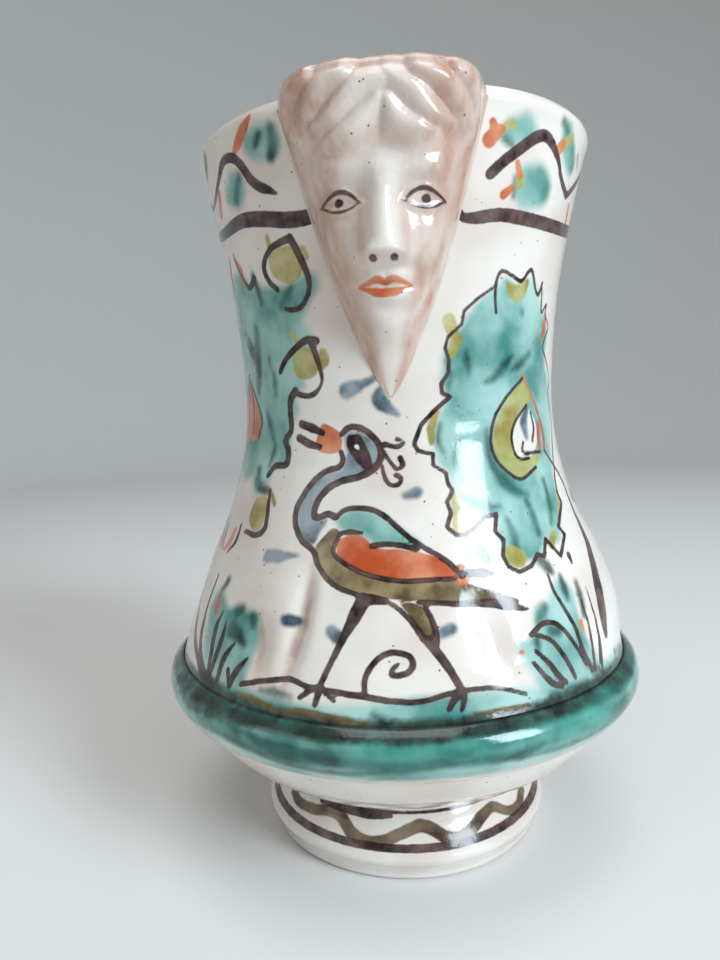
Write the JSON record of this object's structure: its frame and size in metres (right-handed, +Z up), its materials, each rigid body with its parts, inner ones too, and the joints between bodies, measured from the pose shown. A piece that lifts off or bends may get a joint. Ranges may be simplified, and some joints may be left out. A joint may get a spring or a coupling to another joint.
{
  "type": "face jug",
  "caption": "Glazed earthenware jug with a flared foot, corded belly, waisted neck, a pouring spout moulded as a face mask and a strap handle at the back.",
  "frame": {"origin": "centre of the foot's resting ring, on the jug's axis", "axes": "+Z up along the jug's axis; the mask spout looks along -Y and the handle is at +Y"},
  "size_m": [0.1426, 0.1625, 0.2015],
  "materials": {
    "foot_glaze": "glossy cream tin glaze with painted brown rings",
    "bowl_glaze": "glossy cream tin glaze",
    "cordon_glaze": "glossy copper-green glaze",
    "body_glaze": "glossy cream tin glaze with painted trees, grass and a bird",
    "mask_glaze": "glossy cream tin glaze with a flesh-coloured wash",
    "handle_glaze": "glossy cream tin glaze"
  },
  "bodies": {
    "root": {"pedestal_foot": "foot_glaze", "lower_bowl": "bowl_glaze", "seam_cordon": "cordon_glaze", "upper_body": "body_glaze", "mask_spout": "mask_glaze", "strap_handle": "handle_glaze"}
  },
  "joints": []
}
